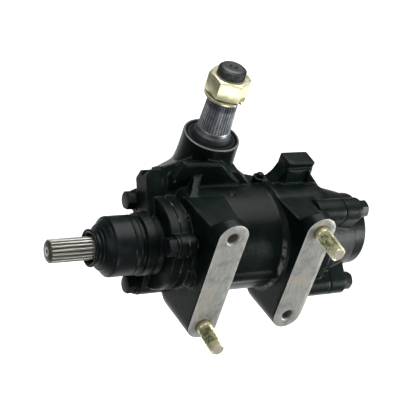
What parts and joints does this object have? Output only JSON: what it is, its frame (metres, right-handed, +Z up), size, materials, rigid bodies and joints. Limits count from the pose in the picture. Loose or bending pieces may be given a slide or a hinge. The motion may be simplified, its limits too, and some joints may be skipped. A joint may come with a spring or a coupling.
{
  "type": "steering control valve",
  "caption": "Integral power steering gear with a rotary control valve in its input end, a ball nut piston and rack, and a sector shaft in a cast housing with two mounting brackets.",
  "frame": {"origin": "centre of the input side mounting bracket's machined face", "axes": "+X along the worm axis from the input shaft towards the end cover, +Y from the bracket faces into the gear, +Z up along the sector shaft towards its nut"},
  "size_m": [0.316, 0.1885, 0.245],
  "materials": {
    "black_paint": "semi-gloss black paint on a casting, bare on its machined faces",
    "machined_steel": "machined steel, lightly oiled",
    "zinc_plate": "pale yellow zinc plating",
    "bolt_steel": "bolts painted over with the housing",
    "black_rubber": "satin black rubber",
    "bearing_steel": "polished bearing steel",
    "hard_steel": "ground and hardened steel",
    "seal_plastic": "filled seal plastic",
    "aluminium_cover": "machined aluminium"
  },
  "bodies": {
    "housing": {"main_housing": "black_paint", "valve_housing": "black_paint", "end_cover": "black_paint", "side_cover": "black_paint", "valve_housing_bolts": "bolt_steel", "end_cover_bolts": "bolt_steel", "side_cover_bolts": "bolt_steel", "mounting_studs": "zinc_plate", "bleeder_plug": "bolt_steel", "gallery_plug": "machined_steel", "input_dust_boot": "black_rubber", "bearing_plug": "aluminium_cover", "plug_lock_ring": "hard_steel", "input_oil_seal": "black_rubber", "input_needle_bearing": "bearing_steel", "inner_thrust_bearing": "bearing_steel", "outer_thrust_bearing": "bearing_steel", "valve_joint_seal": "black_rubber", "end_cover_seal": "black_rubber", "side_cover_seal": "black_rubber", "upper_sector_bearing": "bearing_steel", "lower_sector_bearing": "bearing_steel", "sector_oil_seal": "black_rubber", "sector_dust_seal": "black_rubber", "seal_snap_ring": "hard_steel", "lash_adjusting_screw": "machined_steel", "lash_lock_nut": "zinc_plate"},
    "worm": {"worm_shaft": "hard_steel", "valve_sleeve": "hard_steel", "sleeve_seal_rings": "seal_plastic", "torsion_bar": "hard_steel", "torsion_bar_lower_pin": "hard_steel"},
    "input": {"input_stub_shaft": "machined_steel", "torsion_bar_upper_pin": "hard_steel"},
    "rack": {"rack_piston": "hard_steel", "piston_ring": "seal_plastic", "piston_end_plug": "machined_steel", "recirculating_balls": "bearing_steel", "ball_return_guide": "machined_steel", "guide_clamp": "machined_steel", "guide_clamp_screws": "hard_steel"},
    "sector": {"sector_shaft": "machined_steel", "sector_nut": "zinc_plate", "spring_washer": "zinc_plate", "screw_retainer": "hard_steel"}
  },
  "joints": [
    {"name": "sector_swing", "type": "hinge", "parent": "housing", "child": "sector", "pos_m": [0.0245, 0.113, 0], "axis": [0, 0, 1], "range_deg": [-40, 40]},
    {"name": "rack_slide", "type": "slide", "parent": "housing", "child": "rack", "axis": [1, 0, 0], "range_m": [-0.01885, 0.01885]},
    {"name": "worm_spin", "type": "hinge", "parent": "housing", "child": "worm", "pos_m": [0, 0.061, 0], "axis": [1, 0, 0], "range_deg": [-678.7, 678.7]},
    {"name": "valve_twist", "type": "hinge", "parent": "worm", "child": "input", "pos_m": [0, 0.061, 0], "axis": [1, 0, 0], "range_deg": [-4, 4], "stiffness_Nm_per_rad": 135}
  ],
  "couplings": [
    {"joint": "sector_swing", "follows": "rack_slide", "rad_per_m": 37.037},
    {"joint": "worm_spin", "follows": "rack_slide", "rad_per_m": -628.32}
  ]
}
